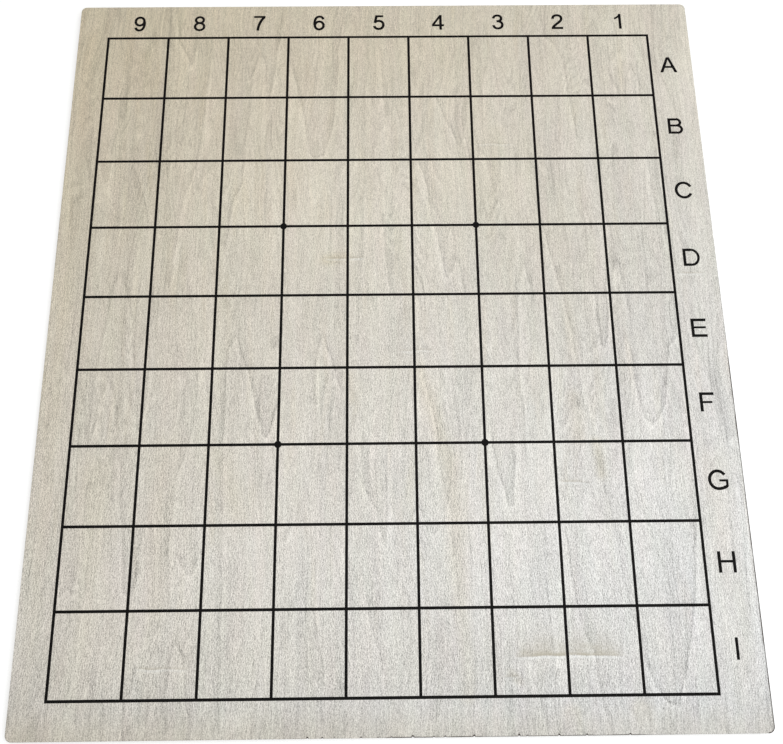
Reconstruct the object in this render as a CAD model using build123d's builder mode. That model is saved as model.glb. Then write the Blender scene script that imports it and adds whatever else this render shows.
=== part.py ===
from build123d import *
import os

# Shogi board: one flat sheet of five-ply wood with the nine by nine grid printed on its face.
# It lies on its underside. X runs to the right, Y from the near edge to the far edge and Z up.
# The origin is the middle of the underside's outline. All sizes are in millimetres.

# The playing grid
FILES = 9
RANKS = 9
CELL_WIDTH = 33.0
CELL_LENGTH = 38.0
LINE_WIDTH = 1.25
STAR_DIAMETER = 3.6
STAR_CELLS_IN = 3
INK_DEPTH = 0.1

# The bare wood around the grid: the right and far margins are wider, for the rank and file marks
MARGIN_LEFT = 16.5
MARGIN_RIGHT = 23.0
MARGIN_NEAR = 16.5
MARGIN_FAR = 20.5

# The outline
CORNER_RADIUS = 3.0
ARRIS = 0.25

# The lay-up, from the face down: veneer, crossband, core, crossband, veneer, with glue between
VENEER = 0.65
INNER_PLY = 1.1
GLUE_FILM = 0.1

# The upper crossband is three strips laid edge to edge, with a hair of space at each joint
FAR_STRIP_WIDTH = 152.5
NEAR_STRIP_WIDTH = 32.5
STRIP_GAP = 0.2

# Sizes that follow
GRID_WIDTH = FILES * CELL_WIDTH
GRID_LENGTH = RANKS * CELL_LENGTH
BOARD_WIDTH = MARGIN_LEFT + GRID_WIDTH + MARGIN_RIGHT
BOARD_LENGTH = MARGIN_NEAR + GRID_LENGTH + MARGIN_FAR
GRID_CENTRE = ((MARGIN_LEFT - MARGIN_RIGHT) / 2, (MARGIN_NEAR - MARGIN_FAR) / 2)

# Heights of the plies' undersides, from the table up
BACK_VENEER_Z = 0.0
GLUE_4_Z = BACK_VENEER_Z + VENEER
LOWER_CROSSBAND_Z = GLUE_4_Z + GLUE_FILM
GLUE_3_Z = LOWER_CROSSBAND_Z + INNER_PLY
CORE_Z = GLUE_3_Z + GLUE_FILM
GLUE_2_Z = CORE_Z + INNER_PLY
UPPER_CROSSBAND_Z = GLUE_2_Z + GLUE_FILM
GLUE_1_Z = UPPER_CROSSBAND_Z + INNER_PLY
FACE_VENEER_Z = GLUE_1_Z + GLUE_FILM
THICKNESS = FACE_VENEER_Z + VENEER

os.makedirs("parts", exist_ok=True)


def save(name, part):
    """Labels a finished piece and writes it under its own name."""
    part.label = name
    export_step(part, f"parts/{name}.step")


# The outline that the laser cuts through all plies at once
with BuildSketch() as outline:
    RectangleRounded(BOARD_WIDTH, BOARD_LENGTH, CORNER_RADIUS)

# The ink: a lattice of lines around the cells, with a star point three cells in from each corner
with BuildSketch() as grid_print:
    with Locations(GRID_CENTRE):
        Rectangle(GRID_WIDTH + LINE_WIDTH, GRID_LENGTH + LINE_WIDTH)
        with GridLocations(CELL_WIDTH, CELL_LENGTH, FILES, RANKS):
            Rectangle(CELL_WIDTH - LINE_WIDTH, CELL_LENGTH - LINE_WIDTH, mode=Mode.SUBTRACT)
        star_span_x = (FILES - 2 * STAR_CELLS_IN) * CELL_WIDTH
        star_span_y = (RANKS - 2 * STAR_CELLS_IN) * CELL_LENGTH
        with GridLocations(star_span_x, star_span_y, 2, 2):
            Circle(STAR_DIAMETER / 2)


def ply(underside, height):
    """A full sheet with the board's outline, height thick, from underside up."""
    with BuildPart() as sheet:
        with BuildSketch(Plane.XY.offset(underside)):
            add(outline.sketch)
        extrude(amount=height)
    return sheet.part


def crossband_strip(near_edge, far_edge):
    """The stretch of the upper crossband from near_edge to far_edge, cut from a full sheet."""
    with BuildPart() as strip:
        with BuildSketch(Plane.XY.offset(UPPER_CROSSBAND_Z)):
            add(outline.sketch)
            with Locations((0, (near_edge + far_edge) / 2)):
                Rectangle(BOARD_WIDTH, far_edge - near_edge, mode=Mode.INTERSECT)
        extrude(amount=INNER_PLY)
    return strip.part


# The face veneer, with its arris broken and the print's place let into it
with BuildPart() as face_veneer:
    with BuildSketch(Plane.XY.offset(FACE_VENEER_Z)):
        add(outline.sketch)
    extrude(amount=VENEER)
    chamfer(face_veneer.faces().sort_by(Axis.Z)[-1].edges(), ARRIS)
    with BuildSketch(Plane.XY.offset(THICKNESS)):
        add(grid_print.sketch)
    extrude(amount=-INK_DEPTH, mode=Mode.SUBTRACT)
save("face_veneer", face_veneer.part)

# The printed grid, which fills that place flush with the wood
with BuildPart() as printed_grid:
    with BuildSketch(Plane.XY.offset(THICKNESS)):
        add(grid_print.sketch)
    extrude(amount=-INK_DEPTH)
save("printed_grid", printed_grid.part)

# The upper crossband's three strips
near_joint = -BOARD_LENGTH / 2 + NEAR_STRIP_WIDTH
far_joint = BOARD_LENGTH / 2 - FAR_STRIP_WIDTH
save("crossband_near_strip", crossband_strip(-BOARD_LENGTH / 2, near_joint))
save("crossband_middle_strip", crossband_strip(near_joint + STRIP_GAP, far_joint - STRIP_GAP))
save("crossband_far_strip", crossband_strip(far_joint, BOARD_LENGTH / 2))

# The full sheets
save("core_ply", ply(CORE_Z, INNER_PLY))
save("lower_crossband", ply(LOWER_CROSSBAND_Z, INNER_PLY))
save("glue_film_1", ply(GLUE_1_Z, GLUE_FILM))
save("glue_film_2", ply(GLUE_2_Z, GLUE_FILM))
save("glue_film_3", ply(GLUE_3_Z, GLUE_FILM))
save("glue_film_4", ply(GLUE_4_Z, GLUE_FILM))

# The back veneer, with its lower arris broken
with BuildPart() as back_veneer:
    with BuildSketch(Plane.XY.offset(BACK_VENEER_Z)):
        add(outline.sketch)
    extrude(amount=VENEER)
    chamfer(back_veneer.faces().sort_by(Axis.Z)[0].edges(), ARRIS)
save("back_veneer", back_veneer.part)
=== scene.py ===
import math
from functools import reduce

import bpy
import numpy as np
from mathutils import Matrix, Vector
from mathutils.geometry import delaunay_2d_cdt
from numpy.linalg import norm

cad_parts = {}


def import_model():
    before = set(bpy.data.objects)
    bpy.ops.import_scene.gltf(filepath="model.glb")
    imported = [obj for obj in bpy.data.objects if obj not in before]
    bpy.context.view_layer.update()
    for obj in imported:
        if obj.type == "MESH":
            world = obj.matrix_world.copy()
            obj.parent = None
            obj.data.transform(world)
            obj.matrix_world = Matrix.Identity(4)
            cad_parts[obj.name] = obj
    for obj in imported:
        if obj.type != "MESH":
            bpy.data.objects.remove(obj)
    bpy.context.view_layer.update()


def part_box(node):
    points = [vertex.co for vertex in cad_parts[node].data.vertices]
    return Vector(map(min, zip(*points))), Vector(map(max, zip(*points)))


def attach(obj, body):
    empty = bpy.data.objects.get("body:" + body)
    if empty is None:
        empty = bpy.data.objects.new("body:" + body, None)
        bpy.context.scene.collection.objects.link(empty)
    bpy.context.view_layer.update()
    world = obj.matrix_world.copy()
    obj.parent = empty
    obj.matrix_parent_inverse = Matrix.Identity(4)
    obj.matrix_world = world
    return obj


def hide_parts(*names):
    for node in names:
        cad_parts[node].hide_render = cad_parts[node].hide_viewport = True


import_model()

# A flat plywood shogi board. Lengths are in millimetres until a mesh is made.
# X runs to the right, Y to the far edge, Z up from the table. Places on the face are
# given from the grid's far left corner: x to the right, y towards the player.
MM = 0.001


def box_mm(node):
    """A CAD node's lowest and highest corners, in millimetres."""
    low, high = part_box(node)
    return np.array(low) / MM, np.array(high) / MM


# The grid. The ink has crept a little past each drawn line, and more past each mark.
CELLS = 9
LINE = 1.25
INK_CREEP = 0.06
INKED_HALF = LINE / 2 + INK_CREEP
MARK_CREEP = 0.11
STAR_RADIUS = 1.8
STAR_CELLS_IN = 3
grid_low, grid_high = box_mm("printed_grid")
cell_width = (grid_high[0] - grid_low[0] - LINE) / CELLS
cell_length = (grid_high[1] - grid_low[1] - LINE) / CELLS
grid_left = grid_low[0] + LINE / 2
grid_far = grid_high[1] - LINE / 2

# The sheet
_, face_high = box_mm("face_veneer")
half_width, half_length = face_high[0], face_high[1]
CORNER = 3.0
ARRIS = 0.28
ARRIS_DROP = 0.2
INK_DEEP = 0.1
CREST_ROOM = 0.12
BACK_RELIEF = -0.3
BACK_CLEAR = 0.035
# How far the cut lies inside the outline, how rough it is along the sheet and how much it leans,
# with the spacing of its waves and of its ripples, which are weaker
CUT_INSET = 0.05
CUT_ROUGH = 0.024
CUT_LEAN = 0.016
CUT_WAVES, CUT_RIPPLES = 2.3, 0.8
RIPPLE_SHARE = 0.6
NET_STEP = 1.5
RIM_STEP = 1.0
NEAR_RIM_STEP = 0.35
CORNER_STEP = 9
SHARP_DEGREES = 35
RINGS = (0.0, ARRIS, 0.8)


def on_board(x, y):
    """A place given from the grid's far left corner, in the board's own frame."""
    return np.array((grid_left + x, grid_far - y))


def from_grid(points):
    """The board's own places, given from the grid's far left corner."""
    return points[:, 0] - grid_left, grid_far - points[:, 1]


def bell(off, half):
    """1 at 0, and less the further off."""
    return np.exp(-((off / half) ** 2))


KNOTS = 4096
FIRST_KNOT = 1000.0


def waves(values, spacing, seed):
    """Smooth random waves from about -1 to 1, with one knot per spacing of the values."""
    knots = np.random.default_rng(seed).uniform(-1, 1, KNOTS)
    place = np.asarray(values) / spacing + FIRST_KNOT
    low = np.floor(place).astype(int)
    share = place - low
    share = share * share * (3 - 2 * share)
    return knots[low % KNOTS] * (1 - share) + knots[(low + 1) % KNOTS] * share


# The outline


def towards(degrees):
    """The way that lies at this angle from X."""
    angle = math.radians(degrees)
    return np.array((math.cos(angle), math.sin(angle)))


def rim():
    """Places round the outline, anticlockwise from the near left corner, and the way out of each."""
    straight_x, straight_y = half_width - CORNER, half_length - CORNER
    sides = (
        ((-straight_x, -half_length), (straight_x, -half_length), NEAR_RIM_STEP, -90),
        ((half_width, -straight_y), (half_width, straight_y), RIM_STEP, 0),
        ((straight_x, half_length), (-straight_x, half_length), RIM_STEP, 90),
        ((-half_width, straight_y), (-half_width, -straight_y), RIM_STEP, 180),
    )
    places, ways = [], []
    for start, end, step, facing in sides:
        start, end = np.array(start), np.array(end)
        count = round(norm(end - start) / step)
        way = towards(facing)
        for share in np.arange(count) / count:
            places.append(start + (end - start) * share)
            ways.append(way)
        centre = end - way * CORNER
        for aside in range(0, 90, CORNER_STEP):
            ways.append(towards(facing + aside))
            places.append(centre + ways[-1] * CORNER)
    return np.array(places), np.array(ways)


# Where the cut caught and burnt a nick in the near edge, from the grid's left line, with its depth
NICKS = (
    (115.2, 0.5), (121.7, 0.4), (126.9, 0.2), (138.6, 0.35), (146.0, 0.25), (151.9, 0.3),
    (161.2, 0.65), (170.4, 0.3), (175.4, 0.4), (188.0, 0.6), (207.6, 0.65), (211.2, 0.3),
    (225.1, 0.55), (237.3, 0.45), (256.2, 0.5),
)
NICK_WIDTH = 0.24
rim_places, rim_ways = rim()
rim_along = np.concatenate(([0], np.cumsum(norm(np.diff(rim_places, axis=0), axis=1))))
near_rim = rim_ways[:, 1] < -0.99
rim_nicks = np.zeros(len(rim_places))
for x, depth in NICKS:
    nick = near_rim * depth * bell(rim_places[:, 0] - (grid_left + x), NICK_WIDTH)
    rim_nicks = np.maximum(rim_nicks, nick)


def cut_ring(inset, seed):
    """The cut outline of one ply: the rim, drawn in by inset, the cut's roughness and its nicks."""
    rough = waves(rim_along, CUT_WAVES, seed)
    rough += RIPPLE_SHARE * waves(rim_along, CUT_RIPPLES, seed + 1)
    depth = CUT_INSET + CUT_ROUGH * (1 + rough / (1 + RIPPLE_SHARE)) + inset + rim_nicks
    return rim_places - rim_ways * depth[:, None]


def rim_distance(points):
    """How far in from the plain outline each point lies."""
    over = np.abs(points) - (np.array((half_width, half_length)) - CORNER)
    outside = norm(np.maximum(over, 0), axis=1)
    return CORNER - outside - np.minimum(over.max(axis=1), 0)


# The printed marks, as lists of convex pieces: mostly strokes of even width

STEM = 1.45
BAR = 1.38
CAP = 9.3


def block(x0, y0, x1, y1):
    """An upright rectangle."""
    return [[(x0, y0), (x1, y0), (x1, y1), (x0, y1)]]


def bend(*numbers):
    """Points along cubic curves. Each takes x and y of three more points after the first one."""
    points = np.reshape(numbers, (-1, 2))
    path = [points[0]]
    for first in range(0, len(points) - 1, 3):
        a, b, c, d = points[first:first + 4]
        for t in np.linspace(0, 1, 11)[1:]:
            path.append(
                a * (1 - t) ** 3 + 3 * b * t * (1 - t) ** 2 + 3 * c * t * t * (1 - t) + d * t ** 3
            )
    return np.array(path)


def turn(centre, radii, start, end):
    """Points along an ellipse, from one angle to another, in degrees."""
    angles = np.radians(np.linspace(start, end, max(12, int(abs(end - start) / 9))))
    return np.array(centre) + np.stack((np.cos(angles), np.sin(angles)), 1) * np.array(radii)


def stroke(path, width=STEM):
    """A ribbon of that width along a path."""
    along = np.gradient(path, axis=0)
    along /= norm(along, axis=1)[:, None]
    side = np.stack((-along[:, 1], along[:, 0]), 1) * width / 2
    left, right = path + side, path - side
    return [[right[i], right[i + 1], left[i + 1], left[i]] for i in range(len(path) - 1)]


def glyphs():
    """The digits and letters, each a list of pieces in millimetres above its baseline."""
    stem = block(0, 0, STEM, CAP)
    six = stroke(bend(
        5.83,6.98, 5.59,8.19, 4.82,8.84, 3.84,8.84, 2.09,8.84, 1.09,7.17, 1.09,4.38, 1.09,3.8,
        1.14,3.4, 1.27,3.02,
    )) + stroke(turn((3.65, 3.02), (2.38, 2.57), 0, 360))
    return {
        "1": block(3.52, 0, 4.92, 9.34) + [[
            (1.36, 5.75), (2.58, 6.32), (3.52, 7.02), (4.92, 7.02), (4.92, 9.34), (4.05, 9.34),
            (3.81, 8.74), (3.09, 8.1), (2.37, 7.46), (1.42, 7.01),
        ]],
        "2": block(0.39, 0, 6.54, BAR) + stroke(bend(
            1.19,6.6, 1.19,8.01, 2.09,8.86, 3.55,8.86, 4.95,8.86, 5.84,8.01, 5.84,6.77, 5.84,5.08,
            3.55,3.87, 1.9,2.09, 1.36,1.49, 1.11,1.02, 1.02,0.5,
        )),
        "3": stroke(bend(
            1.14,6.92, 1.36,8.19, 2.29,8.84, 3.46,8.84, 4.7,8.84, 5.51,8.06, 5.51,6.95, 5.51,5.71,
            4.57,5.08, 2.89,5.08,
        )) + stroke(bend(
            3.3,5.08, 5.0,5.08, 6.03,4.15, 6.03,2.79, 6.03,1.4, 4.95,0.39, 3.49,0.39, 2.2,0.39, 1.33,1.14,
            1.11,2.54,
        )),
        "4": block(4.06, 0, 5.46, CAP) + block(0.17, 2.12, 6.6, 3.42) + [[
            (0.17, 3.42), (0.17, 2.9), (1.7, 2.9), (1.7, 3.4), (4.06, 6.85), (4.8, 9.3),
            (4.25, 9.3),
        ]],
        "5": block(1.98, 7.96, 6.0, 9.26) + [[
            (0.76, 4.3), (2.08, 4.5), (3.0, 8.1), (3.0, 9.26), (1.68, 9.26),
        ]] + stroke(bend(
            1.33,4.42, 1.9,5.2, 2.7,5.57, 3.55,5.57, 5.01,5.57, 5.99,4.57, 5.99,3.08, 5.99,1.46,
            4.89,0.39, 3.49,0.39, 2.22,0.39, 1.27,1.14, 1.13,2.36,
        )),
        "6": six,
        "7": block(0.62, 8.0, 6.64, 9.22) + stroke(bend(6.1,8.5, 4.2,6.4, 2.85,3.2, 2.77,0.0)),
        "8": stroke(turn((3.51, 6.95), (2.13, 1.9), 0, 360), BAR)
        + stroke(turn((3.53, 2.69), (2.48, 2.3), 0, 360), BAR),
        "9": [[(-x, -y) for x, y in piece] for piece in six],
        "A": [
            [(0, 0), (1.58, 0), (4.35, 7.75), (5.12, CAP), (3.58, CAP)],
            [(7.12, 0), (8.7, 0), (5.12, CAP), (3.58, CAP), (4.35, 7.75)],
        ] + block(1.95, 2.72, 6.75, 3.94),
        "B": stem + block(0.6, CAP - BAR, 4.35, CAP) + block(0.6, 4.3, 4.6, 5.56)
        + block(0.6, 0, 4.55, BAR) + stroke(turn((4.35, 6.85), (2.01, 1.92), 90, -90), BAR)
        + stroke(turn((4.55, 2.74), (2.36, 2.2), 90, -90), BAR),
        "C": stroke(turn((4.35, 4.65), (3.75, 4.23), 27, 333)),
        "D": stem + block(0.6, CAP - BAR, 3.9, CAP) + block(0.6, 0, 3.9, BAR)
        + stroke(turn((3.9, 4.65), (3.6, 4.02), 90, -90), 1.28),
        "E": stem + block(0.6, CAP - BAR, 7.15, CAP) + block(0.6, 4.32, 6.95, 5.38)
        + block(0.6, 0, 7.4, BAR),
        "F": stem + block(0.6, CAP - BAR, 6.7, CAP) + block(0.6, 4.0, 5.8, 5.06),
        "G": stroke(np.concatenate((
            turn((4.4, 4.65), (3.82, 4.23), 33, 270),
            bend(4.4,0.42, 6.0,0.42, 7.5,0.95, 8.5,1.8)[1:],
        ))) + block(7.95, 1.4, 9.1, 4.86) + block(5.0, 3.78, 9.1, 4.86),
        "H": stem + block(6.4, 0, 7.8, CAP) + block(0.6, 4.36, 7.2, 5.5),
        "I": stem,
    }


# Each digit's middle, from the middle of its file, its width and its height
DIGIT_Y = -9.3
DIGITS = {
    "9": (0.1, 6.2, 9.6), "8": (0.1, 6.2, 9.6), "7": (0.25, 6.1, 9.4),
    "6": (0.15, 6.2, 9.6), "5": (0.27, 6.25, 9.5), "4": (0.08, 6.5, 9.45),
    "3": (0.33, 6.15, 9.7), "2": (0.27, 6.25, 9.55), "1": (1.08, 3.6, 9.55),
}
# Each letter's left side, from the grid's left line, its width and its height
LETTERS = {
    "A": (302.2, 9.3, 9.4), "B": (303.0, 7.75, 9.45), "C": (302.8, 8.75, 9.65),
    "D": (303.1, 8.35, 9.4), "E": (303.15, 7.6, 9.45), "F": (303.25, 6.9, 9.35),
    "G": (302.95, 9.3, 9.65), "H": (303.2, 8.05, 9.45), "I": (306.8, 1.16, 9.4),
}


def placed(pieces, middle, width, height):
    """Pieces moved and stretched so that together they fill a box about a place on the board."""
    every = np.concatenate(pieces)
    low, high = every.min(axis=0), every.max(axis=0)
    scale = (np.array((width, height)) + 2 * MARK_CREEP) / (high - low)
    return [(np.array(piece) - (low + high) / 2) * scale + middle for piece in pieces]


def print_shapes():
    """Every printed shape by the piece it belongs to."""
    lattice = []
    low, high = grid_low - INK_CREEP, grid_high + INK_CREEP
    for k in range(CELLS + 1):
        x, y = on_board(k * cell_width, k * cell_length)
        lattice += block(x - INKED_HALF, low[1], x + INKED_HALF, high[1])
        lattice += block(low[0], y - INKED_HALF, high[0], y + INKED_HALF)
    stars = (STAR_CELLS_IN, CELLS - STAR_CELLS_IN)
    for column in stars:
        for row in stars:
            centre = on_board(column * cell_width, row * cell_length)
            lattice.append(turn(centre, (STAR_RADIUS, STAR_RADIUS), 0, 350))
    shapes = {"grid_lines": lattice}
    forms = glyphs()
    for k, digit in enumerate("987654321"):
        aside, width, height = DIGITS[digit]
        middle = on_board((k + 0.5) * cell_width + aside, DIGIT_Y)
        shapes[f"file_mark_{digit}"] = placed(forms[digit], middle, width, height)
    for k, letter in enumerate("ABCDEFGHI"):
        left, width, height = LETTERS[letter]
        middle = on_board(left + width / 2, (k + 0.5) * cell_length)
        shapes[f"rank_mark_{letter}"] = placed(forms[letter], middle, width, height)
    return shapes


# The face's relief: short wrinkles over the joints of the ply below
# Each has its start and end, its place down the face, its height, how sharp its far side is and
# how far back from its crest the painted shadow of its fold reaches
WRINKLES = (
    (207, 257, 325.2, 0.11, 0.45, 4.6),
    (38, 62, 328.8, 0.06, 0.6, 0.5),
    (120, 141, 131.8, 0.08, 0.6, 0.8),
    (199, 220, 66.8, 0.035, 0.7, 0.5),
    (157, 175, 181.5, 0.045, 0.6, 0.5),
    (232, 248, 247.5, 0.06, 0.8, 0.6),
    (202, 209, 333.5, 0.05, 0.6, 0.8),
    (299, 313, 141.5, 0.05, 0.8, 0.5),
)
WRINKLE_SPREAD = 2.6
WANDER, WANDER_SPACING = 0.45, 6.5
HIGHEST_WRINKLE = 0.11
# The middle and the half width of the painted shade in the crease and of the painted highlight on the
# crest, down from a wrinkle
CREASE_AT, CREASE_HALF = -0.25, 0.35
CREST_AT, CREST_HALF = 0.75, 0.45
# The slow waves of the whole face: their height, and their spacing across and along the grain
WAVE, WAVE_ACROSS, WAVE_ALONG = 0.012, 9.0, 60.0


def wrinkle_middle(x, y, seed):
    """A wrinkle's own line, which wanders a little about its place."""
    return y + WANDER * waves(x, WANDER_SPACING, seed)


def relief(points):
    """How far the face stands over or under its plane, and the painted shade in the crease, the painted
    shadow behind the crest and the painted highlight on the crest there.
    """
    x, y = from_grid(points)
    height = WAVE * waves(x, WAVE_ACROSS, 71) * waves(y, WAVE_ALONG, 72)
    crease, stain, crest = np.zeros((3, len(points)))
    for seed, (start, end, place, rise, sharp, back) in enumerate(WRINKLES, 300):
        centre, half = (start + end) / 2, (end - start) / 2
        fade = np.clip(1 - np.abs((x - centre) / half) ** 5, 0, 1)
        fade = fade * (0.75 + 0.25 * waves(x, 4.0, seed + 50))
        off = y - wrinkle_middle(x, place, seed)
        near_side = np.exp(-np.maximum(off, 0) / WRINKLE_SPREAD)
        height += rise * fade * near_side * bell(np.minimum(off, 0), sharp)
        # Painted shade in the crease, painted shadow on the fold's far side and painted highlight on its
        # crest
        strength = rise / HIGHEST_WRINKLE * fade
        crease = np.maximum(crease, strength * bell(off - CREASE_AT, CREASE_HALF))
        behind = np.exp(np.minimum(off, 0) / back) * np.clip(0.5 - off / 0.5, 0, 1)
        stain = np.maximum(stain, strength * behind)
        crest = np.maximum(crest, strength * bell(off - CREST_AT, CREST_HALF))
    return np.minimum(height, CREST_ROOM - 0.01), crease, stain, crest


# The face's figure: edges of growth rings, as a rotary cut leaves them. Each line is walked with
# the darker wood on its left hand. It has its strength first, and then its places, x before y.
GRAIN_LINES = (
    (1.0, 36.6,-18, 38.5,2.6, 42.9,8.3, 46.4,19.5, 48.5,12, 49.1,2),
    (0.8, 78.8,62, 80,38.3, 80.6,20.8, 84.1,10.1, 86.6,17, 87.5,32, 87.3,47),
    (0.9, 90.8,42, 91.6,23.3, 94.5,0.8, 96,-18),
    (0.8, 99.1,13.3, 104.8,32, 108.5,52, 112,73, 115.5,75, 119.5,73, 124.1,57, 125.4,38, 126,19.5,
     128.5,-10.5),
    (0.6, 37.4,72, 39.8,57.6, 41,69.5, 40.6,92),
    (0.8, 42.9,150, 44.1,124.5, 45.8,107, 48.5,92, 52.3,81, 54.5,65, 56,38, 57.9,0.8),
    (0.9, 69.5,132, 71,112, 73.5,97, 76.8,89.5, 78.5,66),
    (0.4, 11,150, 14.8,113, 15.4,77, 13.5,38, 14.5,10),
    (0.7, 0,62, 3,83, 6,93, 8,75, 9,55),
    (0.8, 30,116, 29.1,104.5, 26,94.5, 22.3,85.8, 18.5,76),
    (0.7, 8,225, 9.5,190, 12,168, 15,146, 17.5,140, 21,150, 25,166, 27.5,188, 29.5,200, 30.5,228),
    (0.8, 9.5,226, 12.5,205, 16.1,194, 19.5,206, 21.5,226),
    (0.7, 149,6, 151,38, 152.9,58.6, 154,48, 153.5,25),
    (0.5, 137,190, 138.5,150, 140.4,107, 141.5,60, 141.5,22),
    (0.9, 149,104, 150.5,125, 152.5,142, 154,158),
    (0.5, 105.5,106, 106.3,130, 106,156),
    (1.2, 73,232, 73.2,190, 73.8,181, 77,173, 80.5,184, 84,193, 87.5,210, 91.5,224, 94,224.5, 96.5,216,
     98.5,204),
    (0.5, 69,182, 75.1,164.5, 81,178),
    (1.0, 116.5,212, 117,187, 119.7,174, 123,182, 125.4,191, 130,204),
    (0.8, 49.8,286, 51,253, 52.3,240, 56,230, 58.5,216, 59.8,184),
    (0.5, 55,190, 51,208, 49,232),
    (0.8, 76.5,358, 75.3,303, 74.5,266, 73,222),
    (0.6, 94.8,304, 92.9,323.5, 91,345),
    (0.9, 24,232, 26.5,260, 28.5,278, 29.8,293, 32,299.5, 35,296, 36.5,286, 38,262),
    (0.9, 0,301, 4.5,293, 7.2,297, 8.8,286, 9.2,270),
    (1.0, 52,277, 57,286, 60.3,290, 64,281.5, 68,274),
    (0.7, 8,356, 10.5,330, 13,305, 13.5,276),
    (0.6, 14,348, 17.9,332, 21.5,346),
    (0.6, 34,356, 37.9,331, 42,350),
    (0.9, 52,350, 53,330, 55.4,316.5, 58,323, 60,335, 64,358),
    (0.7, 122,356, 121.6,328, 120,318, 117,298),
    (0.9, 140,292, 142.9,310, 146,322, 150,342),
    (1.0, 135,238, 142,252, 146,260, 147.5,270, 149.8,277, 151,268, 151.5,250, 151,228),
    (0.6, 97,270, 101,275, 104,273, 106,262),
    (0.85, 177,32, 184.3,53, 189.3,63.5, 191.8,69.5, 194,62, 195.3,52, 196,36),
    (1.0, 168,73, 173.6,94.5, 175.5,109.5, 177.4,119.5, 180,134.5, 182.3,144, 185,140, 187.7,132.5,
     190,143, 191.5,156),
    (0.45, 205,60, 204.8,35, 206,25, 208.8,14, 212,22, 213.3,40, 213.5,60),
    (0.8, 237.4,-18, 239.5,0, 245,5.5, 248.6,13, 250.5,32, 252.4,51, 253.6,70),
    (0.7, 282,44, 283.5,28, 286.3,19, 289,30, 290.5,46),
    (0.6, 288.5,-16, 291,7, 294.5,24),
    (0.6, 273,20, 275.5,29.5, 279,38, 281,30),
    (0.5, 203.5,70, 206.8,92, 209,96, 212,85, 214,70),
    (0.9, 218.3,158, 219.5,143, 222,136, 224,146, 224.5,164),
    (0.9, 230,106, 235.5,132, 238,143, 240,153, 243,172, 245,192),
    (0.7, 252,234, 250,219, 246.5,208, 245.5,186),
    (0.8, 252,242, 255.5,261, 257.4,274, 258.6,291, 261,308, 265,320),
    (0.9, 265.5,158, 267,140, 268.6,133.5, 271,144, 273,170),
    (0.6, 289.8,70, 290.3,98, 294,114),
    (0.6, 254.6,140, 254.8,120, 254.8,80),
    (1.1, 256,146, 256.3,166, 257,176, 258.8,182.5, 261,176, 262.3,166, 263,146),
    (0.6, 312,58, 310.5,30, 308,10),
    (0.6, 302,166, 305,184, 311,206),
    (0.5, 316.5,320, 315.5,270, 314.5,224),
    (1.2, 271.7,174, 272.7,203.5, 273.6,212, 276,217.5, 279.3,220.8, 283,216, 286,209.5, 288.6,197,
     290,189, 291.8,180, 299,172),
    (1.1, 200,218, 203,240, 206,248.5, 206.8,256, 208.7,259.5, 210.8,257, 211.3,246, 212.4,236, 213,218),
    (0.8, 218,240, 217.5,212, 216.5,203, 217,170, 217.5,150),
    (1.2, 264,324, 269.3,338.5, 274,346, 279,347, 281,340, 283.5,331, 287.5,318, 291,302, 293,284, 296,258),
    (0.7, 168,190, 173,212, 175,222, 175,236, 178.6,251, 180.5,261, 181,278.5, 183,306),
    (1.1, 233,264, 235.5,297, 238,310, 243,327, 244.5,341, 247.5,358),
    (0.7, 226.5,356, 225.5,330, 224.8,310, 223,288),
    (0.6, 230,160, 235.5,169.8, 243,182),
)
GRAIN_REACH = 5.8
GRAIN_FADE = 8.0
SIDE_FADE = 1.5
GRAIN_WANDER, GRAIN_WANDER_SPACING = 0.4, 9.0
# Where the back's figure begins, past the far end of the face's
BACK_SHIFT = (21, -34)

# Softer marks, each with its place, half width and half length, and how much lighter it is
# Some of these sit on the wrinkles: dark ones along a fold are painted shade, and light ones just nearer
# the player are painted highlight
GRAIN_SPOTS = (
    (115.5,92, 7, 18, 0.05), (21.5,49.5, 1.8, 2.6, 0.13), (21.2,61, 1.6, 2.6, 0.2),
    (20,68, 2.2, 1.4, -0.08), (5,98, 5, 6, 0.07), (20,98, 5, 9, -0.04), (96.8,176.6, 2.4, 3.6, -0.2),
    (68,198.5, 1.8, 1.6, -0.12), (148,254, 1.2, 8, 0.1), (223,95, 3, 14, 0.05), (191.5,84, 3, 8, 0.04),
    (252.5,238, 1.5, 4.4, -0.24), (243.6,209.8, 2.2, 1.1, -0.1), (178,301, 2.2, 3, -0.07),
    (177.5,312, 2.6, 2.6, -0.08), (210.5,280, 7, 18, 0.035), (278,241, 13, 15, 0.03),
    (223,286, 3, 16, -0.045), (125,133.5, 3.4, 1.8, -0.12), (86.5,57, 3, 6, 0.05),
    (222.5,139, 1.2, 4, 0.08), (58,330, 2.4, 3.5, 0.08), (93.5,236, 3, 6, 0.06),
    (245.5,247.6, 2.6, 1.0, -0.12), (206,334, 3, 1.4, -0.13), (206.5,336.9, 2.8, 1.1, 0.13),
    (35,290, 1.5, 5, -0.1), (128,283, 3, 12, 0.03), (299,267, 2, 1.6, -0.12), (314,227, 1.2, 2, -0.12),
    (150,372, 300, 42, -0.13), (82,100, 26, 30, 0.05), (150,95, 20, 30, 0.03), (285,170, 36, 34, -0.05),
    (225,140, 36, 60, -0.03), (90,250, 24, 28, 0.04), (290,15, 36, 40, 0.04), (201,262, 12, 34, 0.025),
    (8,70, 34, 80, -0.045), (112,80, 18, 70, 0.03), (182,85, 16, 60, 0.035), (262,140, 44, 75, -0.045),
    (247,247, 16, 18, -0.04), (50,300, 70, 60, 0.04), (115,330, 30, 30, 0.02), (214,275, 18, 45, 0.02),
    (316,40, 7, 40, 0.09), (316,262, 7, 26, 0.035), (190,352, 40, 10, 0.04), (216,323.6, 6.5, 1.2, -0.12),
    (212.6,328.5, 0.8, 2.2, 0.12), (225.6,328.6, 0.9, 1.6, 0.12), (238,328, 2.2, 0.8, 0.09),
    (84,353, 9, 9, 0.07), (213,330.5, 5, 3, 0.07), (231,328, 9, 1.4, 0.07), (243,330, 3, 4, 0.06),
)
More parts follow.
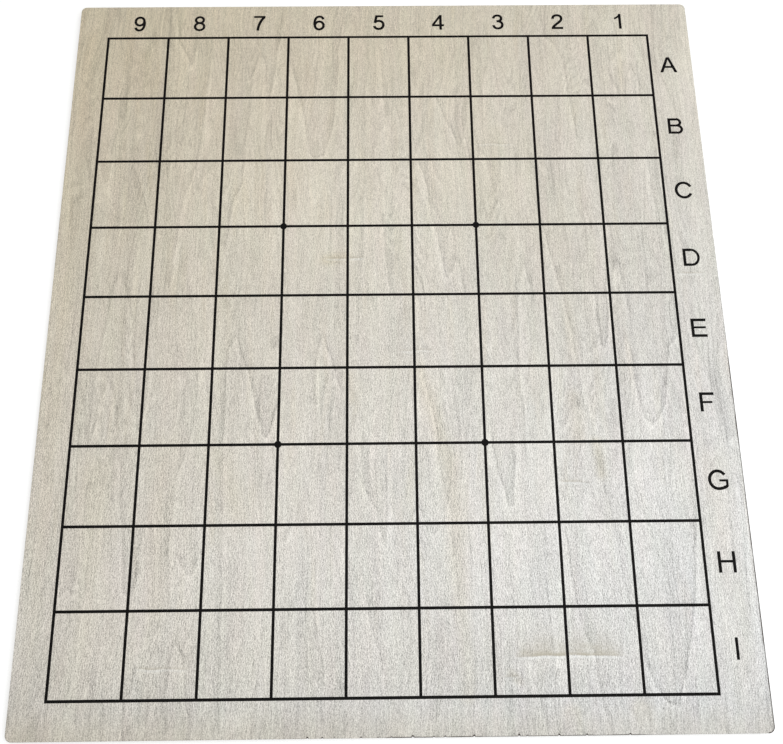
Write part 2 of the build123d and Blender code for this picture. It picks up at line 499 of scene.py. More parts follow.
# Bands of browner wood: start, end, half width and strength
# The short bands on the wrinkles near 131, 324 and 334 down the face are painted shade of the folds
BROWN_BANDS = (
    (167,192, 181,240, 4.5, 0.8), (181,236, 186,342, 5, 0.7), (240,140, 243,186, 4, 0.5),
    (242,206, 243,226, 4, 0.7), (251,228, 253,244, 2.5, 1.0), (121,133, 130,131, 3, 1.0),
    (70,232, 82,262, 6, 0.5), (133,194, 134,206, 3, 0.6), (20,12, 24,34, 5, 0.4),
    (198,40, 206,110, 9, 0.35), (-16,358, 318,358, 11, 0.9), (231,350, 232,356, 5, 1.4),
    (262,349, 264,356, 6, 1.3), (20,352, 110,352, 7, 0.6), (-10,0, -10,360, 5, 0.35),
    (14,240, 14,345, 8, 0.5), (45,230, 46,340, 8, 0.4), (305,240, 309,345, 9, 0.6),
    (212,60, 206,120, 5, 0.5), (205,85, 245,135, 30, 0.35), (140,8, 190,12, 24, 0.3),
    (10,328, 300,328, 22, 0.35), (205,332, 209,336, 2.6, 0.9), (211,323.6, 223,323.8, 1.5, 1.2),
)


def beside(points, line):
    """How far each point lies to a line's left hand, and how strongly the line shows there."""
    strength, places = line[0], np.array(line[1:], float).reshape(-1, 2)
    lengths = norm(np.diff(places, axis=0), axis=1)
    starts = np.concatenate(([0], np.cumsum(lengths)))
    least = np.full(len(points), np.inf)
    side, walked = np.zeros(len(points)), np.zeros(len(points))
    for a, b, length, start in zip(places, places[1:], lengths, starts):
        way = (b - a) / length
        off = points - a
        share = np.clip(off @ way, 0, length)
        distance = norm(off - share[:, None] * way, axis=1)
        left = off[:, 0] * way[1] - off[:, 1] * way[0]
        key = distance - 1e-3 * np.abs(left)
        nearer = key < least
        least[nearer] = key[nearer]
        side[nearer] = (np.sign(left) * distance)[nearer]
        walked[nearer] = start + share[nearer]
    from_end = np.minimum(walked, starts[-1] - walked)
    shown = strength * np.clip(from_end / GRAIN_FADE, 0, 1)
    shown *= np.clip((GRAIN_REACH - np.abs(side)) / SIDE_FADE, 0, 1)
    return side, shown


def in_sets(lines):
    """The lines shared out into sets, so that no two of one set come near each other."""
    sets = []
    for line in lines:
        places = np.array(line[1:], float).reshape(-1, 2)
        share = np.linspace(0, len(places) - 1, 12 * len(places))
        own = np.stack([np.interp(share, range(len(places)), places[:, k]) for k in (0, 1)], 1)
        for group in sets:
            apart = [norm(own[:, None] - other, axis=2).min() for _, other in group]
            if min(apart) > 2 * GRAIN_REACH:
                group.append((line, own))
                break
        else:
            sets.append([(line, own)])
    return [[line for line, _ in group] for group in sets]


GRAIN_SETS = in_sets(GRAIN_LINES)


def figure(points, turned):
    """The figure's attributes at each point. The back has part of it, turned half round."""
    places = np.stack(from_grid(points), 1)
    places[:, 0] += GRAIN_WANDER * waves(places[:, 1], GRAIN_WANDER_SPACING, 500)
    if turned:
        places = np.array((CELLS * cell_width, CELLS * cell_length)) + BACK_SHIFT - places
    fields = {}
    for number, lines in enumerate(GRAIN_SETS):
        side, shown = np.full(len(places), -GRAIN_REACH), np.zeros(len(places))
        for line in lines:
            own_side, own_shown = beside(places, line)
            stronger = own_shown > shown
            side[stronger], shown[stronger] = own_side[stronger], own_shown[stronger]
        fields[f"grain_{number}"] = side
        fields[f"grain_{number}_show"] = shown
    spots, brown = np.zeros(len(places)), np.zeros(len(places))
    for x, y, half_across, half_along, lighter in GRAIN_SPOTS:
        off = (places - (x, y)) / (half_across, half_along)
        spots += lighter * np.exp(-(off ** 2).sum(axis=1))
    for *ends, half, strength in BROWN_BANDS:
        start, end = np.reshape(ends, (2, 2))
        way = end - start
        share = np.clip((places - start) @ way / (way @ way), 0, 1)
        off = norm(places - start - share[:, None] * way, axis=1)
        brown = np.maximum(brown, strength * bell(off, half))
    return fields | {"spots": spots, "brown": brown}


# Meshes


def spread(breaks, step):
    """Evenly spaced places between each two breaks, no further apart than step."""
    places = [breaks[0]]
    for low, high in zip(breaks, breaks[1:]):
        count = max(1, math.ceil((high - low) / step))
        places += list(low + (high - low) * np.arange(1, count + 1) / count)
    return np.array(places)


WRINKLE_STEP = 0.8
WRINKLE_ROWS = (-1.2, -0.8, -0.5, -0.25, 0, 0.25, 0.6, 1.0, 1.6, 2.4)


def net_points():
    """The face's net: rows and columns that follow the grid lines, and closer rows on wrinkles."""
    places = [on_board(k * cell_width, (CELLS - k) * cell_length) for k in range(CELLS + 1)]
    net = []
    for k, half in enumerate((half_width, half_length)):
        lines = [place[k] + side for place in places for side in (-INKED_HALF, INKED_HALF)]
        net.append(spread([-half + 1, *lines, half - 1], NET_STEP))
    net = np.stack(np.meshgrid(*net, indexing="ij"), -1).reshape(-1, 2)
    close = []
    for seed, (start, end, place, *_) in enumerate(WRINKLES, 300):
        across = np.arange(start - 1, end + 1.5, WRINKLE_STEP)
        for off in WRINKLE_ROWS:
            down = wrinkle_middle(across, place, seed) + off
            close.append(np.stack((grid_left + across, grid_far - down), 1))
    net = np.concatenate([net, *close])
    return net[rim_distance(net) > RINGS[-1] + 0.5]


def counted_round(polygon):
    """The polygon, anticlockwise."""
    polygon = np.asarray(polygon, float)
    x, y = polygon.T
    turned = np.sum(x * np.roll(y, -1) - np.roll(x, -1) * y)
    return polygon if turned > 0 else polygon[::-1]


def triangulate(rings, shapes, points):
    """One triangle net inside rings[0], with every shape's outline in it.
    Returns the points, the triangles, each triangle's shape and each point's ring or -1."""
    polygons, owners = [rings[0]], [""]
    for name, pieces in shapes.items():
        polygons += [counted_round(piece) for piece in pieces]
        owners += [name] * len(pieces)
    coordinates = np.concatenate([*rings, points, *polygons[1:]])
    faces = [list(range(len(rings[0])))]
    lengths = [len(ring) for ring in rings]
    start = sum(lengths) + len(points)
    for polygon in polygons[1:]:
        faces.append(list(range(start, start + len(polygon))))
        start += len(polygon)
    made, _, triangles, origins, _, inside = delaunay_2d_cdt(
        [Vector(p) for p in coordinates], [], faces, 1, 1e-5
    )
    ring_of = np.repeat([*range(len(rings)), -1], [*lengths, len(coordinates) - sum(lengths)])
    rings_found = np.array([ring_of[min(origin)] if origin else -1 for origin in origins])
    names = [next((owners[i] for i in found if i), "") for found in inside]
    return np.array([tuple(p) for p in made]), np.array(triangles), np.array(names), rings_found


def open_edges(triangles):
    """The directed edges that only one of these triangles has."""
    edges = np.concatenate((triangles[:, (0, 1)], triangles[:, (1, 2)], triangles[:, (2, 0)]))
    size = int(triangles.max()) + 1
    forward = edges[:, 0] * size + edges[:, 1]
    backward = edges[:, 1] * size + edges[:, 0]
    return edges[~np.isin(forward, backward)]


def put(name, data):
    """An object of the scene."""
    made = bpy.data.objects.new(name, data)
    bpy.context.scene.collection.objects.link(made)
    return made


def make_mesh(name, points, faces, attributes=None):
    """A mesh object in metres from points in millimetres, smooth but for its sharp edges."""
    mesh = bpy.data.meshes.new(name)
    mesh.from_pydata((np.asarray(points) * MM).tolist(), [], [list(map(int, f)) for f in faces])
    mesh.update()
    mesh.shade_smooth()
    mesh.set_sharp_from_angle(angle=math.radians(SHARP_DEGREES))
    for key, values in (attributes or {}).items():
        layer = mesh.attributes.new(key, "FLOAT", "POINT")
        layer.data.foreach_set("value", np.asarray(values, np.float32))
    return put(name, mesh)


def finish_piece(piece, material, slot, *nodes):
    """Gives a piece its material and its place in the frame."""
    piece.data.materials.append(material)
    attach(piece, "root")
    if nodes:
        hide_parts(*nodes)
    return piece


# The two outer veneers, the print in the face and the plies between

SCORCH_REACH = 0.32
RIGHT_DARK_REACH = 0.6
NICK_HALO = 0.55
LEAST_SCORCH = 0.12
# The stretch of the near edge that is darker, and where the right edge's darker rim begins and grows
DARK_FROM, DARK_TO, DARK_FADE = 140, 276, 14
RIGHT_FROM, RIGHT_GROWTH = 95, 120


def scorch_of(points, depth, rough_cut):
    """How dark the rim is at each point: a little burnt all round, darker along the right edge and a
    stretch of the near edge, the rough sides, and burnt round the nicks.
    """
    x, y = from_grid(points)
    grown = np.clip((y - RIGHT_FROM) / RIGHT_GROWTH, 0.05, 1)
    right = (points[:, 0] > half_width - CORNER) * grown
    near = (points[:, 1] < -half_length + CORNER) * np.clip((x - DARK_FROM) / DARK_FADE, 0.3, 1)
    near = near * np.clip((DARK_TO - x) / DARK_FADE, 0.3, 1)
    patchy = 0.85 + 0.3 * waves(x + y, 7.0, 90)
    scorch = np.maximum(near * rough_cut, LEAST_SCORCH) * patchy * bell(depth, SCORCH_REACH)
    scorch = np.maximum(scorch, right * rough_cut * patchy * bell(depth, RIGHT_DARK_REACH))
    for nick_x, nick_depth in NICKS:
        off_x, off_y = x - nick_x, points[:, 1] + half_length - nick_depth
        halo = np.exp(-(off_x ** 2 + off_y ** 2) / (NICK_HALO * (0.5 + nick_depth)) ** 2)
        scorch = np.maximum(scorch, halo * rough_cut)
    return np.clip(scorch, 0, 1)


def outer_sheet(name, node, way, shapes, seed):
    """One outer veneer with its relief, broken arris and cut rim, and the shapes printed on it.
    way is 1 for the face and -1 for the back. Returns the sheet and the print's pieces."""
    low, high = box_mm(node)
    plane, hidden = (high[2] - CREST_ROOM, low[2]) if way > 0 else (low[2] + BACK_CLEAR, high[2])
    rings = [cut_ring(inset, seed) for inset in RINGS]
    points, triangles, names, ring = triangulate(rings, shapes, net_points())
    depth = rim_distance(points) - CUT_INSET
    for number, inset in enumerate(RINGS):
        depth[ring == number] = inset
    drop = ARRIS_DROP * np.clip(1 - depth / ARRIS, 0, 1)
    height, *marks = relief(points)
    if way < 0:
        height, marks = BACK_RELIEF * np.abs(height), [0 * mark for mark in marks]
    levels = plane + height - way * drop

    wood, ink = triangles[names == ""], triangles[names != ""]
    rim_edges = open_edges(triangles)
    rim_from = rim_edges[:, 0]
    count = len(points)
    floor_of, base_of = np.full((2, count), -1)
    inked = np.unique(ink)
    floor_of[inked] = count + np.arange(len(inked))
    base_of[rim_from] = count + len(inked) + np.arange(len(rim_from))
    corners = np.concatenate((
        np.column_stack((points, levels)),
        np.column_stack((points[inked], levels[inked] - INK_DEEP)),
        np.column_stack((points[rim_from], np.full(len(rim_from), hidden))),
    ))
    faces = [*wood.tolist(), *floor_of[ink].tolist()]
    on_rim = set(map(tuple, rim_edges.tolist()))
    for a, b in open_edges(wood).tolist():
        if (a, b) not in on_rim:
            faces.append([b, a, floor_of[a], floor_of[b]])
    following = dict(rim_edges.tolist())
    loop = [int(rim_from[0])]
    while following[loop[-1]] != loop[0]:
        loop.append(following[loop[-1]])
    for a, b in zip(loop, loop[1:] + loop[:1]):
        faces.append([b, a, base_of[a], base_of[b]])
    faces.append([base_of[a] for a in reversed(loop)])
    if way < 0:
        faces = [face[::-1] for face in faces]

    every = np.concatenate((np.arange(count), inked, rim_from))
    fields = {key: field[every] for key, field in figure(points, way < 0).items()}
    scorch = scorch_of(points, depth, 1.0 if way > 0 else 0.6)[every]
    scorch[count + len(inked):] = 1.0
    marks = {key: mark[every] for key, mark in zip(("crease", "stain", "crest"), marks)}
    attributes = fields | marks | {"scorch": scorch}
    sheet = make_mesh(name, corners, faces, attributes)

    prints = {}
    for shape in shapes:
        own = triangles[names == shape]
        used, renamed = np.unique(own, return_inverse=True)
        own = renamed.reshape(own.shape)
        tops = np.column_stack((points[used], levels[used]))
        bottoms = tops - (0, 0, INK_DEEP)
        below = len(used)
        faces = [*own.tolist(), *(own[:, ::-1] + below).tolist()]
        faces += [[b, a, a + below, b + below] for a, b in open_edges(own).tolist()]
        prints[shape] = make_mesh(shape, np.concatenate((tops, bottoms)), faces)
    return sheet, prints


def ply(name, node, inset, seed):
    """One inner ply or glue film, with its cut edge."""
    low, high = box_mm(node)
    ring = cut_ring(inset, seed)
    kept = (ring[:, 1] > low[1] - RIM_STEP) & (ring[:, 1] < high[1] + RIM_STEP)
    ring = ring[kept]
    ring[:, 1] = np.clip(ring[:, 1], low[1], high[1])
    lower = ring + CUT_LEAN * waves(np.arange(len(ring)), 2.0, seed + 9)[:, None]
    lower = np.clip(lower, (-half_width, low[1]), (half_width, high[1]))
    count = len(ring)
    corners = np.concatenate((
        np.column_stack((lower, np.full(count, low[2]))),
        np.column_stack((ring, np.full(count, high[2]))),
    ))
    walls = [[a, (a + 1) % count, (a + 1) % count + count, a + count] for a in range(count)]
    caps = [list(range(count))[::-1], list(range(count, 2 * count))]
    return make_mesh(name, corners, walls + caps)


# Materials


class Paint:
    """The nodes of a material or of the world, with short calls for what they use here."""

    def __init__(self, owner, output="OutputMaterial"):
        owner.use_nodes = True
        self.owner = owner
        self.tree = owner.node_tree
        self.tree.nodes.clear()
        self.end = self.node(output).inputs["Surface"]

    def node(self, kind, inputs=(), **settings):
        """A new node with these settings. Its inputs, by name or number, are linked or set."""
        node = self.tree.nodes.new("ShaderNode" + kind)
        for key, value in settings.items():
            setattr(node, key, value)
        for key, value in dict(inputs).items():
            if isinstance(value, bpy.types.NodeSocket):
                self.tree.links.new(value, node.inputs[key])
            else:
                node.inputs[key].default_value = value
        return node

    def finish(self, shader):
        """Links the last shader to the output, and returns what owns the nodes."""
        self.tree.links.new(shader.outputs[0], self.end)
        return self.owner

    def math(self, operation, *values, clamp=False):
        inputs = enumerate(values)
        return self.node("Math", inputs, operation=operation, use_clamp=clamp).outputs[0]

    def total(self, *values):
        """The sum of several values."""
        return reduce(lambda a, b: self.math("ADD", a, b), values)

    def times(self, *values):
        """Several values multiplied."""
        return reduce(lambda a, b: self.math("MULTIPLY", a, b), values)

    def swing(self, value, size):
        """A noise value from 0 to 1, turned into a swing of about size either way."""
        return self.math("MULTIPLY_ADD", value, 2 * size, -size)

    def ranged(self, *numbers, kind="LINEAR"):
        """A value, taken from one range (its low and its high) to another."""
        inputs = enumerate(numbers)
        return self.node("MapRange", inputs, interpolation_type=kind).outputs[0]

    def smooth(self, *numbers):
        """As ranged, with soft ends."""
        return self.ranged(*numbers, kind="SMOOTHSTEP")

    def vector(self, operation, *values):
        """A vector operation. SCALE takes the vector and the number."""
        inputs = dict(enumerate(values))
        if operation == "SCALE":
            inputs["Scale"] = inputs.pop(1)
        return self.node("VectorMath", inputs, operation=operation).outputs[0]

    def place(self):
        """The point on the object, in millimetres."""
        return self.vector("SCALE", self.node("TexCoord").outputs["Object"], 1 / MM)

    def axis(self, place, name):
        return self.node("SeparateXYZ", {0: place}).outputs[name]

    def three(self, *values):
        return self.node("CombineXYZ", enumerate(values)).outputs[0]

    def noise(self, place, sizes, shift=(0, 0, 0), detail=2.0, roughness=0.5):
        """Noise from 0 to 1, with grains of these sizes along X, Y and Z."""
        stretched = self.vector("MULTIPLY_ADD", place, [1 / size for size in sizes], shift)
        inputs = {"Vector": stretched, "Scale": 1.0, "Detail": detail, "Roughness": roughness}
        return self.node("TexNoise", inputs).outputs["Fac"]

    def attribute(self, name):
        return self.node("Attribute", attribute_name=name).outputs["Fac"]

    def mix(self, factor, a, b):
        """One colour at factor 0 and another at 1."""
        a, b = (c if isinstance(c, bpy.types.NodeSocket) else (*c, 1) for c in (a, b))
        return self.node("Mix", {0: factor, 6: a, 7: b}, data_type="RGBA").outputs[2]

    def surface(self, colour, roughness, height, depth, specular=0.3):
        """One Principled shader, with height as its bump, which is depth metres deep."""
        bump = self.node("Bump", {"Strength": 1.0, "Distance": depth, "Height": height})
        return self.finish(self.node("BsdfPrincipled", {
            "Base Color": colour, "Roughness": roughness, "Specular IOR Level": specular,
            "Normal": bump.outputs[0],
        }))

    def seen(self):
        """1 for the rays that look at things, straight, in a gloss or through glass, and else 0."""
        path = self.node("LightPath").outputs
        seen = self.math("MAXIMUM", path["Is Camera Ray"], path["Is Glossy Ray"])
        return self.math("MAXIMUM", seen, path["Is Transmission Ray"])


def linear(*srgb):
    """A colour given as 0 to 255 screen values, as the linear values that a shader takes."""
    shares = [value / 255 for value in srgb]
    return [s / 12.92 if s <= 0.04045 else ((s + 0.055) / 1.055) ** 2.4 for s in shares]


WOOD = linear(218, 212, 202)
BACK_WOOD = linear(212, 203, 186)
SCORCHED = (0.035, 0.022, 0.015)
# Painted shade in the wrinkles' creases, painted shadow on the far side of their folds, and painted
# highlight on their crests
CREASE_SHADE = (0.2, 0.14, 0.08)
FOLD_SHADOW_COLOUR = (0.45, 0.41, 0.325)
CREST_HIGHLIGHT = (0.9, 0.9, 0.87)

# Painted light: the wood's colour is multiplied by a darker, warmer tint far on the left and a lighter,
# cooler one near on the right, where more light falls
WARM = (0.945, 0.88, 0.745)
COOL = (0.98, 1.03, 1.145)
BROWN = (0.968, 0.938, 0.87)
PAINTED_LIGHT_REACH = 385
PAINTED_LIGHT_SLANT = -1.4
TINT = 0.028

# How much each mark of the wood lightens it, or darkens it below 0
SHOW = {
    "fibre": 0.15, "hair": 0.21, "sanded": 0.28, "speckle": 0.47, "bands": 0.1, "clouds": 0.06,
    "flecks": -0.07, "strands": -0.12, "ring's dark": -0.085, "ring's light": 0.055,
    "fine": -0.105, "line": -0.115, "flank": -0.06, "light": 0.1,
}
LIGHTEST = 1.36
# How much more the fibres, pores and speckle show over the near part
NEAR_HAIR, NEAR_PORES, NEAR_SPECKLE = 1.2, 2.2, 1.4
DRIFT = 5.0
RINGS_PER_HILL = 15.0
FINE_PER_HILL = 32.0


def veneer_paint(name, seed, wood):
    """Sanded rotary-cut veneer: fibres, growth rings, drawn figure, painted light across the face, creases
    with painted shade and highlight, and a burnt rim that is darker on the right and near edges.
    """
    p = Paint(bpy.data.materials.new(name))
    shift = (seed * 3.7, seed * 1.9, seed * 0.7)

    # The fibres run from near to far, and drift a little to the side
    straight = p.place()
    drift = p.swing(p.noise(straight, (70, 60, 9), shift, detail=1), DRIFT)
    place = p.vector("ADD", straight, p.three(drift, 0.0, 0.0))

    # Fibres, fine streaks and the speckle of sanded pores
    fibre = p.noise(place, (1.8, 80, 9), shift, detail=3, roughness=0.66)
    hair = p.noise(place, (0.38, 4.8, 9), shift, roughness=0.6)
    pores, left, right = (
        p.noise(place, (0.48, 1.0, 1), (shift[0] + aside, *shift[1:]), detail=0)
        for aside in (0, -0.9, 0.9)
    )
    sanded = p.math("SUBTRACT", pores, p.times(p.total(left, right), 0.5))
    speckle = p.noise(place, (0.44, 0.5, 1), shift, detail=1)
    bands = p.noise(place, (10, 150, 9), shift)
    clouds = p.noise(place, (17, 30, 9), shift)
    flecks = p.ranged(p.noise(place, (0.5, 2.6, 1), shift, detail=1), 0.64, 0.74, 0, 1)

    # Long dark strands, mostly towards the left side
    strands = p.noise(place, (0.8, 75, 9), (seed * 1.3, 4.1, 2.2), detail=1)
    many = p.ranged(p.noise(place, (24, 90, 9), (2.7, seed, 5.1), detail=1), 0.42, 0.62, 0.15, 1)
    many = p.math("ADD", many, p.ranged(p.axis(place, "X"), -140, -70, 0.5, 0), clamp=True)
    strands = p.times(p.ranged(strands, 0.55, 0.7, 0, 1), many, SHOW["strands"])

    # Growth rings: the contours of a long low hill field, dark up to each edge and light after it
    hills = p.noise(place, (25, 170, 9), shift, detail=2.5, roughness=0.45)
    ring = p.math("FRACT", p.total(p.times(hills, RINGS_PER_HILL), p.swing(hair, 0.1)))
    ring_show = p.ranged(p.noise(place, (22, 48, 9), shift, detail=1), 0.36, 0.62, 0.1, 0.8)
    rings = p.times(ring_show, p.total(
        p.times(p.smooth(ring, 0.62, 0.97, 0, 1), SHOW["ring's dark"]),
        p.times(p.smooth(ring, 0.0, 0.3, 1, 0), SHOW["ring's light"]),
    ))

    # Fine lines that run on for centimetres and bend with the same hills
    fine = p.math("FRACT", p.total(p.times(hills, FINE_PER_HILL), p.swing(hair, 0.25)))
    fine = p.math("ABSOLUTE", p.math("SUBTRACT", fine, 0.5))
    fine_show = p.ranged(p.noise(place, (9, 34, 9), (1.7, seed, 3.3), detail=1), 0.38, 0.58, 0, 1)
    fine = p.times(p.smooth(fine, 0.0, 0.3, 1, 0), fine_show, SHOW["fine"])

    # The drawn figure: a dark line and a dark flank on one side, a light band on the other
    ragged = p.swing(p.noise(place, (2.0, 9, 9), shift, roughness=0.6), 1.1)
    ragged = p.total(ragged, p.swing(hair, 0.6))
    broken = p.ranged(p.noise(place, (5, 9, 9), shift, detail=1), 0.4, 0.6, 0.45, 1)

    def grain_line(number):
        side = p.total(p.attribute(f"grain_{number}"), ragged)
        line = p.smooth(p.math("ABSOLUTE", p.math("SUBTRACT", side, 0.5)), 0.15, 1.0, 1, 0)
        flank = p.times(p.smooth(side, 0.2, 5.0, 1, 0), p.ranged(side, -0.1, 0.5, 0, 1))
        light = p.times(p.smooth(side, -3.4, -0.3, 0, 1), p.ranged(side, -0.3, 0.1, 1, 0))
        shown = p.total(
            p.times(line, broken, SHOW["line"]), p.times(flank, SHOW["flank"]),
            p.times(light, SHOW["light"]),
        )
        return p.times(shown, p.attribute(f"grain_{number}_show"))

    drawn = p.total(p.attribute("spots"), *[grain_line(k) for k in range(len(GRAIN_SETS))])

    # The fibres, pores and speckle show more over the near half, but for the margin
    nearness = p.times(
        p.ranged(p.axis(place, "Y"), 110, -110, 0, 1),
        p.ranged(p.axis(place, "Y"), -185, -170, 0.35, 1),
    )
    grain = p.total(
        p.times(p.swing(hair, SHOW["hair"]), p.ranged(nearness, 0, 1, 1, NEAR_HAIR)),
        p.times(sanded, SHOW["sanded"], p.ranged(nearness, 0, 1, 1, NEAR_PORES)),
        p.times(p.swing(speckle, SHOW["speckle"]), p.ranged(nearness, 0, 1, 1, NEAR_SPECKLE)),
    )
    shade = p.total(
        1.0, p.swing(fibre, SHOW["fibre"]), grain, p.swing(bands, SHOW["bands"]),
        p.swing(clouds, SHOW["clouds"]), p.times(flecks, SHOW["flecks"]),
        strands, rings, fine, drawn,
    )
    shade = p.math("MINIMUM", shade, LIGHTEST)

    # Tint: patches that lean to red, green or blue along the grain, and browner wood
    tints = [p.noise(place, (6, 34, 9), (seed + k * 5.3, k * 2.1, seed)) for k in range(3)]
    tint = p.three(*[p.total(1.0, p.swing(t, TINT)) for t in tints])
    brown = p.ranged(p.noise(place, (5.5, 55, 9), (seed, 9.1, 3.3)), 0.56, 0.72, 0, 0.4)
    brown = p.math("MAXIMUM", brown, p.attribute("brown"))
    # Painted light: darker and warmer towards the far left, lighter and cooler towards the near right
    painted_light_slope = p.math("MULTIPLY_ADD", p.axis(place, "Y"), PAINTED_LIGHT_SLANT, p.axis(place, "X"))
    painted_light_tone = p.mix(p.ranged(painted_light_slope, -PAINTED_LIGHT_REACH, PAINTED_LIGHT_REACH, 0, 1), WARM, COOL)
    for factor in (p.mix(brown, (1, 1, 1), BROWN), tint, wood):
        painted_light_tone = p.vector("MULTIPLY", painted_light_tone, factor)
    colour = p.vector("SCALE", painted_light_tone, shade)

    # The crease over a joint of the ply below, with painted shade in it, a painted shadow behind its fold
    # and a painted highlight on its crest
    uneven = p.ranged(p.noise(place, (7, 3, 9), shift), 0.35, 0.6, 0.45, 1)
    colour = p.mix(p.times(p.attribute("crease"), uneven, 0.5), colour, CREASE_SHADE)
    stain = p.math("MULTIPLY", p.times(p.attribute("stain"), uneven), 1.3, clamp=True)
    colour = p.mix(stain, colour, FOLD_SHADOW_COLOUR)
    crest = p.times(p.attribute("crest"), p.ranged(hair, 0.3, 0.6, 0.5, 1), 0.85)
    colour = p.mix(crest, colour, CREST_HIGHLIGHT)

    # The rim: burnt all round, and darker along the right and near edges
    burn = p.math("MULTIPLY_ADD", p.noise(place, (0.6, 0.6, 0.3), shift), 0.5, -0.2)
    burn = p.total(p.attribute("scorch"), p.times(burn, p.attribute("scorch")))
    colour = p.mix(p.smooth(burn, 0.12, 0.75, 0, 1), colour, SCORCHED)

    height = p.total(
        p.times(fibre, 0.6), p.times(hair, 0.6), p.times(speckle, 0.4), p.times(flecks, -0.5),
    )
    return p.surface(colour, p.ranged(fibre, 0.3, 0.7, 0.5, 0.66), height, depth=0.00005)


def cut_edge_paint(name, light, dark, seed):
    """The laser-cut edge of a ply: charred brown, with upright marks of the beam and paler patches."""
    p = Paint(bpy.data.materials.new(name))
    place = p.place()
    shift = (seed, seed * 2.3, seed * 0.9)
    beam = p.noise(place, (0.55, 0.55, 6), shift)
    fibres = p.noise(place, (0.5, 0.5, 0.12), shift)
    patches = p.noise(place, (16, 16, 2.5), shift)
    share = p.total(p.swing(beam, 0.45), p.swing(fibres, 0.3), p.swing(patches, 0.6), 0.5)
    share = p.smooth(share, 0.1, 0.9, 0, 1)
    height = p.total(p.times(beam, 0.7), p.times(fibres, 0.4))
    return p.surface(p.mix(share, dark, light), p.ranged(share, 0, 1, 0.8, 0.6), height, depth=0.0001)


def ink_paint():
    """Black ink soaked into the wood, thinner where it crosses open fibres."""
    p = Paint(bpy.data.materials.new("print_ink"))
    place = p.place()
    fibre = p.noise(place, (0.5, 7, 9))
    thin = p.total(fibre, p.swing(p.noise(place, (2.5, 2.5, 1)), 0.2))
    thin = p.ranged(thin, 0.5, 0.8, 0, 1)
    colour = p.mix(thin, (0.003, 0.0025, 0.0024), (0.008, 0.0066, 0.006))
    roughness = p.ranged(fibre, 0.3, 0.7, 0.5, 0.65)
    return p.surface(colour, roughness, fibre, depth=0.00003, specular=0.06)


def glue_paint():
    """A glue line burnt back between two plies."""
    p = Paint(bpy.data.materials.new("glue"))
    beads = p.noise(p.place(), (0.8, 0.8, 0.2))
    colour = p.mix(beads, (0.012, 0.008, 0.006), (0.05, 0.03, 0.018))
    return p.surface(colour, p.ranged(beads, 0.3, 0.7, 0.35, 0.6), beads, depth=0.0001)


# The pieces

face_paint = veneer_paint("face_wood", 1, WOOD)
face, prints = outer_sheet("face_sheet", "face_veneer", 1, print_shapes(), 11)
finish_piece(face, face_paint, "face_wood", "face_veneer")
ink = ink_paint()
for name, piece in prints.items():
    finish_piece(piece, ink, "print_ink", *(["printed_grid"] if name == "grid_lines" else []))

back_paint = veneer_paint("back_wood", 7, BACK_WOOD)
back, _ = outer_sheet("back_sheet", "back_veneer", -1, {}, 23)
finish_piece(back, back_paint, "back_wood", "back_veneer")

# How far each inner ply and glue film is burnt back, its paint and its slot
cross_paint = cut_edge_paint("cross_grain_edge", (0.30, 0.17, 0.085), (0.06, 0.033, 0.02), 3)
core_paint = cut_edge_paint("core_edge", (0.16, 0.088, 0.046), (0.03, 0.018, 0.012), 5)
cross_ply = (0.02, cross_paint, "cross_grain_wood")
glue_film = (0.12, glue_paint(), "glue")
PLIES = {f"crossband_{where}_strip": cross_ply for where in ("far", "middle", "near")}
PLIES |= {"core_ply": (0.0, core_paint, "core_wood"), "lower_crossband": cross_ply}
PLIES |= {f"glue_film_{number}": glue_film for number in range(1, 5)}
for seed, (node, (inset, paint, slot)) in enumerate(PLIES.items(), 40):
    finish_piece(ply(f"{node}_cut", node, inset, seed * 10), paint, slot, node)

# Floor and light

FLOOR_REACH = 3000.0
FLOOR_GREY = (0.8, 0.8, 0.8, 1)
# The floor's own light for the camera, at a near and a far distance from the board's middle
LIFT_NEAR, LIFT_FAR = 300, 900
LIFT_LOW, LIFT_HIGH = 0.42, 0.68
AMBIENT = 0.495
AMBIENT_COLOUR = (1.0, 0.977, 0.935, 1)
# The window beside the board: a square lamp, in metres and watts
WINDOW_PLACE = Vector((0.15, -0.08, 0.5))
WINDOW_TARGET = Vector((0.04, -0.01, 0))
WINDOW_SIZE = 0.5
WINDOW_POWER = 2.12
WINDOW_COLOUR = (0.91, 0.965, 1.0)


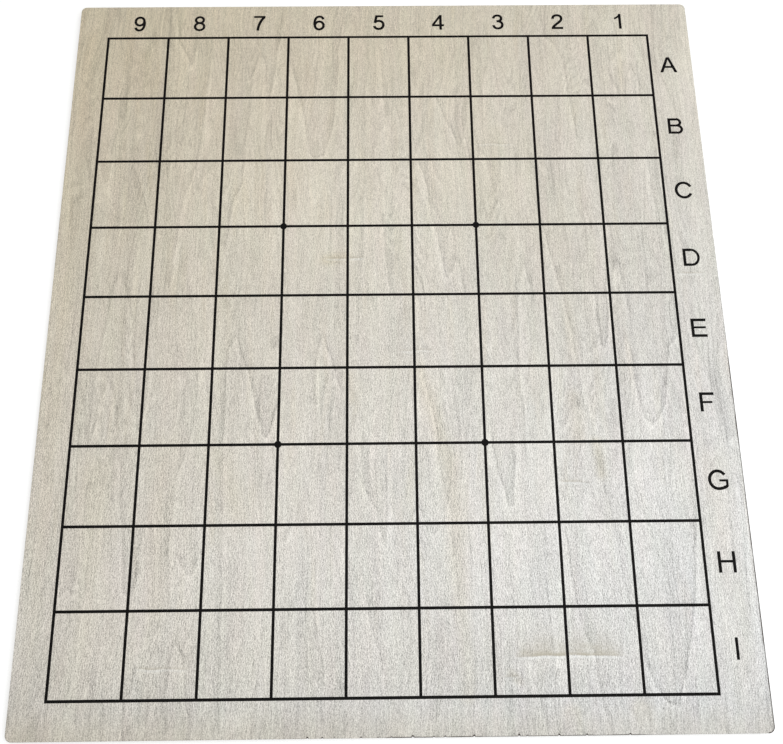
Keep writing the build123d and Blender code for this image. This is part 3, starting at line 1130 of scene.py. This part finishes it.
def floor():
    """A white floor that stays white to the camera and keeps the board's shadow."""
    corners = FLOOR_REACH * np.array([(-1, -1, 0), (1, -1, 0), (1, 1, 0), (-1, 1, 0)])
    obj = make_mesh("floor", corners, [range(4)])
    p = Paint(bpy.data.materials.new("floor_white"))
    diffuse = p.node("BsdfDiffuse", {"Color": FLOOR_GREY})
    distance = p.node("VectorMath", {0: p.place()}, operation="LENGTH").outputs["Value"]
    level = p.ranged(distance, LIFT_NEAR, LIFT_FAR, LIFT_LOW, LIFT_HIGH)
    lift = p.node("Emission", {"Strength": p.times(p.seen(), level)})
    both = p.node("AddShader", {0: diffuse.outputs[0], 1: lift.outputs[0]})
    obj.data.materials.append(p.finish(both))


def world():
    """White behind everything, and an even soft light."""
    p = Paint(bpy.data.worlds.new("studio"), "OutputWorld")
    soft = p.node("Background", {"Color": AMBIENT_COLOUR, "Strength": AMBIENT})
    white = p.node("Background", {"Color": (1.0, 1.0, 1.0, 1), "Strength": 1.0})
    mixed = {0: p.seen(), 1: soft.outputs[0], 2: white.outputs[0]}
    bpy.context.scene.world = p.finish(p.node("MixShader", mixed))


floor()
world()
lamp = bpy.data.lights.new("window", "AREA")
lamp.shape = "SQUARE"
lamp.size = WINDOW_SIZE
lamp.energy = WINDOW_POWER
lamp.color = WINDOW_COLOUR
window = put("window", lamp)
window.location = WINDOW_PLACE
window.rotation_mode = "QUATERNION"
window.rotation_quaternion = (WINDOW_TARGET - WINDOW_PLACE).to_track_quat("-Z", "Y")

# The camera, from the photo's perspective, over the near half of the board
SENSOR = 36.0
FRAME_WIDTH_PX = 783
FOCAL_PX = 853.2
CAMERA_OFF = (2.0, -137.2, 401.1)
LOOK = Vector((0.00756, 0.27703, -0.96083))
UP = Vector((0.00897, 0.96080, 0.27709))
grid_centre = (*on_board(CELLS / 2 * cell_width, CELLS / 2 * cell_length), face_high[2])
camera_data = bpy.data.cameras.new("camera")
camera_data.sensor_width = SENSOR
camera_data.lens = FOCAL_PX / FRAME_WIDTH_PX * SENSOR
camera_data.clip_start = 0.01
camera = put("camera", camera_data)
right = LOOK.cross(UP).normalized()
up = right.cross(LOOK).normalized()
camera.matrix_world = Matrix((right, up, -LOOK.normalized())).transposed().to_4x4()
camera.location = [(place + off) * MM for place, off in zip(grid_centre, CAMERA_OFF)]
bpy.context.scene.camera = camera
bpy.context.scene.view_settings.view_transform = "Standard"
